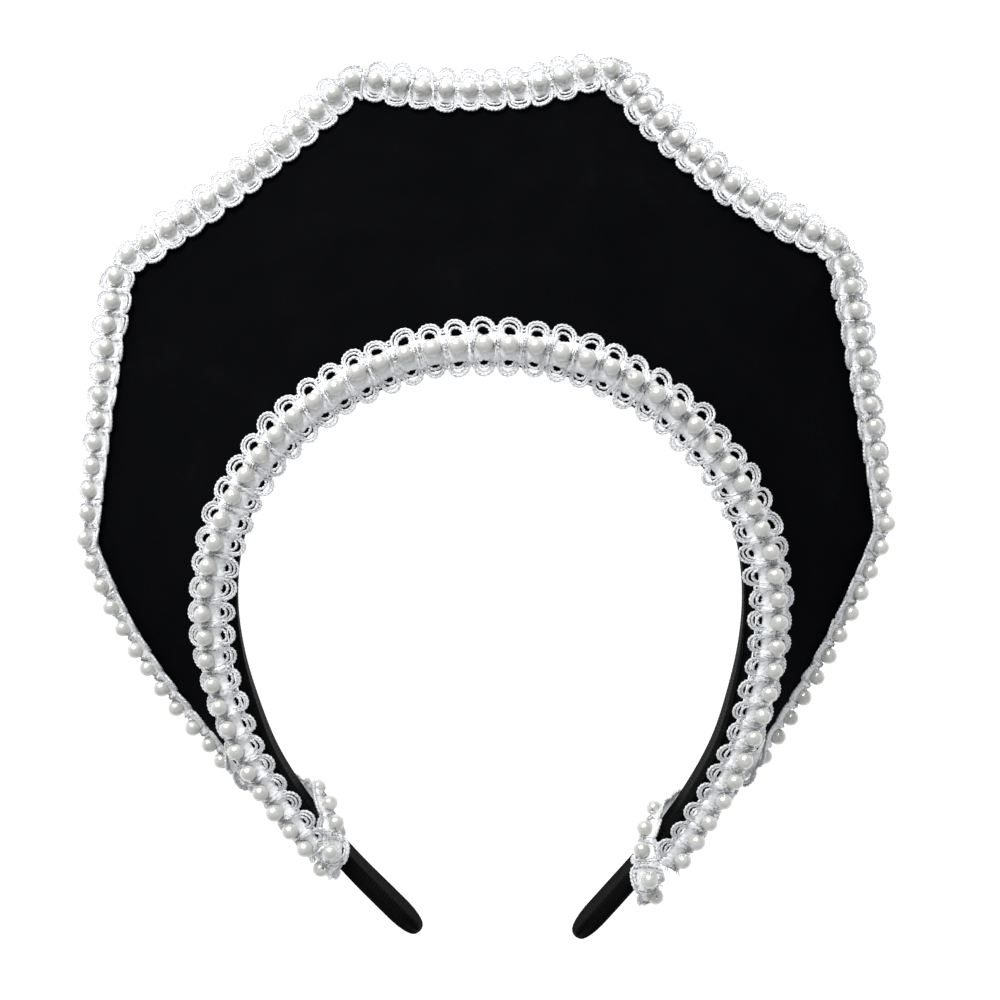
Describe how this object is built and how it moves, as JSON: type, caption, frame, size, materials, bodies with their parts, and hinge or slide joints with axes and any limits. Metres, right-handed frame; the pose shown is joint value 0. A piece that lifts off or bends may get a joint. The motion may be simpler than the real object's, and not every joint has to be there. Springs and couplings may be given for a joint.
{
  "type": "crown headband",
  "caption": "Crown-shaped headband: a stiff black velvet panel with a scalloped rim on a narrow head band, edged with white looped braid and pearl beads.",
  "frame": {"origin": "bottom centre of the bounding box, on the surface that the headband lies on", "axes": "+X to the right as seen from the front, +Y towards the top of the crown, +Z out of the front, up from the surface it lies on"},
  "size_m": [0.2174, 0.238, 0.0524],
  "materials": {
    "black_ribbon": "dull ribbed ribbon",
    "black_velvet": "short-pile velvet",
    "white_braid": "glossy rayon cord",
    "pearl": "pearlescent lacquer"
  },
  "bodies": {
    "root": {"headband": "black_ribbon", "crown_panel": "black_velvet", "front_trim": "white_braid", "rim_trim": "white_braid"}
  },
  "joints": []
}
